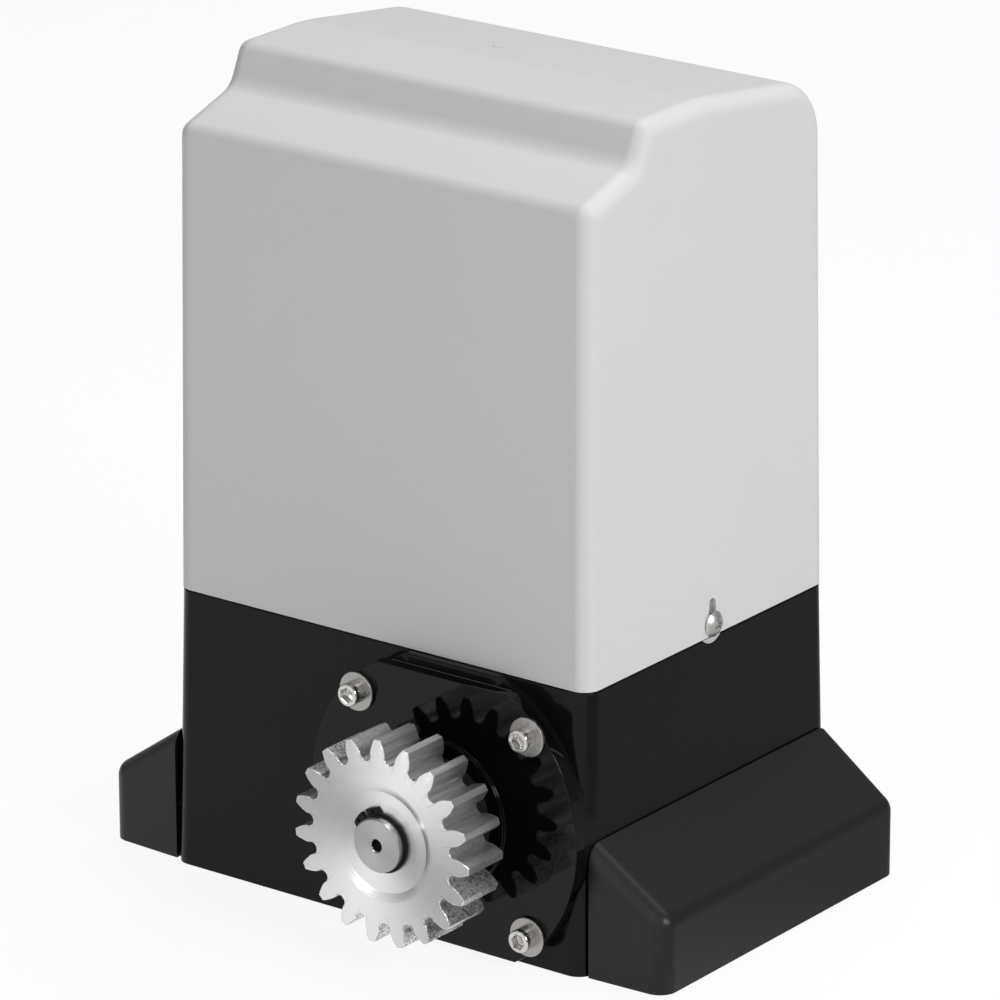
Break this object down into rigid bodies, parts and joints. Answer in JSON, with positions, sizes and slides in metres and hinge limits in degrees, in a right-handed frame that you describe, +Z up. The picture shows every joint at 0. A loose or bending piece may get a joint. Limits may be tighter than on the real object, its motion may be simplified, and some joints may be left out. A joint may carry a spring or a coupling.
{
  "type": "sliding gate motor",
  "caption": "Sliding gate motor with a stepped lift-off cover, black cast base, flanged output pinion for a toothed rack, worm drive, bolt covers and rear release lever.",
  "frame": {"origin": "centre of the foot bolt pattern in the underside plane", "axes": "+Z up, -Y towards the rack and pinion side, +X towards the side on which the pinion is offset"},
  "size_m": [0.2746, 0.2365, 0.332],
  "materials": {
    "black_paint": "gloss black paint on cast metal",
    "flange_paint": "high gloss black paint",
    "gasket_fibre": "green-grey gasket fibre",
    "washer_steel": "stainless steel",
    "screw_steel": "bright stainless steel",
    "seal_rubber": "nitrile rubber",
    "bearing_steel": "polished bearing steel",
    "pinion_steel": "turned face with cast tooth flanks",
    "shaft_steel": "ground steel",
    "spring_steel": "black phosphated spring steel",
    "bronze": "machined bronze",
    "lamination_steel": "stacked electrical steel",
    "fan_plastic": "dark nylon",
    "cast_aluminium": "die-cast aluminium",
    "copper": "lacquered copper wire",
    "galvanised": "zinc-plated sheet",
    "can_plastic": "white plastic can",
    "board_green": "solder-masked board",
    "terminal_green": "green plastic",
    "relay_blue": "blue plastic",
    "coil_yellow": "yellow tape",
    "dark_plastic": "black plastic",
    "glass_fuse": "glass tube",
    "button_red": "red plastic",
    "gland_plastic": "dark grey nylon",
    "cover_plastic": "light grey satin moulded plastic",
    "foot_plastic": "black fine-textured plastic",
    "lock_brass": "turned brass"
  },
  "bodies": {
    "base": {"gearbox_housing": "black_paint", "front_flange": "flange_paint", "flange_gasket": "gasket_fibre", "flange_washers": "washer_steel", "flange_screws": "screw_steel", "shaft_seal": "seal_rubber", "front_bearing_outer_race": "bearing_steel", "front_bearing_balls": "bearing_steel", "rear_bearing_outer_race": "bearing_steel", "rear_bearing_balls": "bearing_steel", "motor_lower_shield": "cast_aluminium", "motor_upper_shield": "cast_aluminium", "motor_bearing_outer_races": "bearing_steel", "motor_bearing_balls": "bearing_steel", "oil_seal": "seal_rubber", "stator_core": "lamination_steel", "stator_windings": "copper", "motor_tie_bolts": "galvanised", "capacitor_clip": "galvanised", "run_capacitor": "can_plastic", "board_bracket": "galvanised", "control_board": "board_green", "board_screws": "screw_steel", "terminal_block": "terminal_green", "terminal_screws": "screw_steel", "relays": "relay_blue", "transformer_core": "lamination_steel", "transformer_coil": "coil_yellow", "fuse_holder": "dark_plastic", "fuse": "glass_fuse", "filter_capacitors": "dark_plastic", "microcontroller": "dark_plastic", "radio_receiver": "galvanised", "learn_button_base": "dark_plastic", "limit_sensor": "dark_plastic", "cable_gland": "gland_plastic", "gland_dome_nut": "gland_plastic", "gland_lock_nut": "gland_plastic", "cover_washers": "washer_steel", "cover_screws": "screw_steel"},
    "pinion_drive": {"output_shaft": "shaft_steel", "pinion": "pinion_steel", "pinion_key": "shaft_steel", "circlip": "spring_steel", "worm_wheel": "bronze", "front_bearing_inner_race": "bearing_steel", "rear_bearing_inner_race": "bearing_steel"},
    "rotor": {"worm_shaft": "shaft_steel", "rotor_core": "lamination_steel", "motor_fan": "fan_plastic", "motor_bearing_inner_races": "bearing_steel"},
    "cover": {"motor_cover": "cover_plastic"},
    "left_bolt_cover": {"bolt_cover_left": "foot_plastic"},
    "right_bolt_cover": {"bolt_cover_right": "foot_plastic"},
    "lever": {"release_lever": "dark_plastic"},
    "lock": {"lock_cylinder": "lock_brass"},
    "plunger": {"release_plunger": "shaft_steel"},
    "button": {"learn_button": "button_red"}
  },
  "joints": [
    {"name": "rotor_spin", "type": "hinge", "parent": "base", "child": "rotor", "pos_m": [-0.016, 0, 0.16], "axis": [0, 0, 1], "continuous": true},
    {"name": "pinion_spin", "type": "hinge", "parent": "base", "child": "pinion_drive", "pos_m": [0.039, 0, 0.056], "axis": [0, 1, 0], "continuous": true},
    {"name": "cover_lift", "type": "slide", "parent": "base", "child": "cover", "axis": [0, 0, 1], "range_m": [0, 0.25]},
    {"name": "left_bolt_cover_slide", "type": "slide", "parent": "base", "child": "left_bolt_cover", "axis": [-1, 0, 0], "range_m": [0, 0.07]},
    {"name": "right_bolt_cover_slide", "type": "slide", "parent": "base", "child": "right_bolt_cover", "axis": [1, 0, 0], "range_m": [0, 0.07]},
    {"name": "release_lever_turn", "type": "hinge", "parent": "base", "child": "lever", "pos_m": [0.039, 0.09, 0.056], "axis": [0, 1, 0], "range_deg": [0, 90]},
    {"name": "release_plunger_slide", "type": "slide", "parent": "base", "child": "plunger", "axis": [0, -1, 0], "range_m": [0, 0.004]},
    {"name": "lock_turn", "type": "hinge", "parent": "lever", "child": "lock", "pos_m": [-0.023, 0.09, 0.056], "axis": [0, 1, 0], "range_deg": [0, 90]},
    {"name": "learn_button_press", "type": "slide", "parent": "base", "child": "button", "axis": [-1, 0, 0], "range_m": [0, 0.0005], "stiffness_N_per_m": 400}
  ],
  "couplings": [
    {"joint": "pinion_spin", "follows": "rotor_spin", "ratio": -0.03125},
    {"joint": "release_plunger_slide", "follows": "release_lever_turn", "m_per_rad": 0.0025464}
  ]
}
